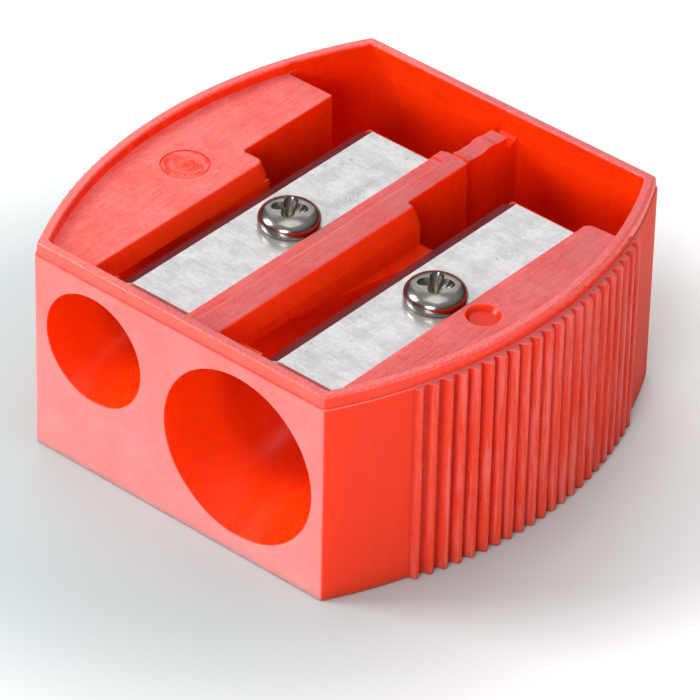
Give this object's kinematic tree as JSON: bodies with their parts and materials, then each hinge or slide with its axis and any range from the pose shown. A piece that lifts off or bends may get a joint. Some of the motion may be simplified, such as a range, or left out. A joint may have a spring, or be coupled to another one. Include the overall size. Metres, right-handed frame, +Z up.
{
  "type": "pencil sharpener",
  "caption": "Flat barrel-shaped pencil sharpener, moulded in one piece with a standard and a jumbo bore, a screwed steel blade over each, and ribbed grip sides.",
  "frame": {"origin": "middle of the flat base, which stands on the table", "axes": "+Z up; +Y is the way a pencil goes in, from the face with the two holes to the back wall; +X to the right of that face, on the jumbo bore's side"},
  "size_m": [0.034, 0.0322, 0.0159],
  "materials": {
    "red_plastic": "glossy translucent moulding with fine scratches",
    "blade_steel": "satin ground face",
    "screw_nickel": "polished nickel plate"
  },
  "bodies": {
    "housing": {"body": "red_plastic"},
    "standard_blade": {"standard_blade": "blade_steel"},
    "jumbo_blade": {"jumbo_blade": "blade_steel"},
    "standard_screw": {"standard_blade_screw": "screw_nickel"},
    "jumbo_screw": {"jumbo_blade_screw": "screw_nickel"}
  },
  "joints": [
    {"name": "standard_blade_lift", "type": "slide", "parent": "housing", "child": "standard_blade", "axis": [0, 0, 1], "range_m": [0, 0.006]},
    {"name": "standard_screw_turn", "type": "hinge", "parent": "standard_blade", "child": "standard_screw", "pos_m": [-0.00298, -0.00235, 0.0145], "axis": [0, 0, 1], "range_deg": [0, 2160]},
    {"name": "jumbo_blade_lift", "type": "slide", "parent": "housing", "child": "jumbo_blade", "axis": [0, 0, 1], "range_m": [0, 0.006]},
    {"name": "jumbo_screw_turn", "type": "hinge", "parent": "jumbo_blade", "child": "jumbo_screw", "pos_m": [0.00909, -0.00235, 0.0145], "axis": [0, 0, 1], "range_deg": [0, 2160]}
  ],
  "couplings": [
    {"joint": "standard_screw_turn", "follows": "standard_blade_lift", "rad_per_m": 6283.2},
    {"joint": "jumbo_screw_turn", "follows": "jumbo_blade_lift", "rad_per_m": 6283.2}
  ]
}
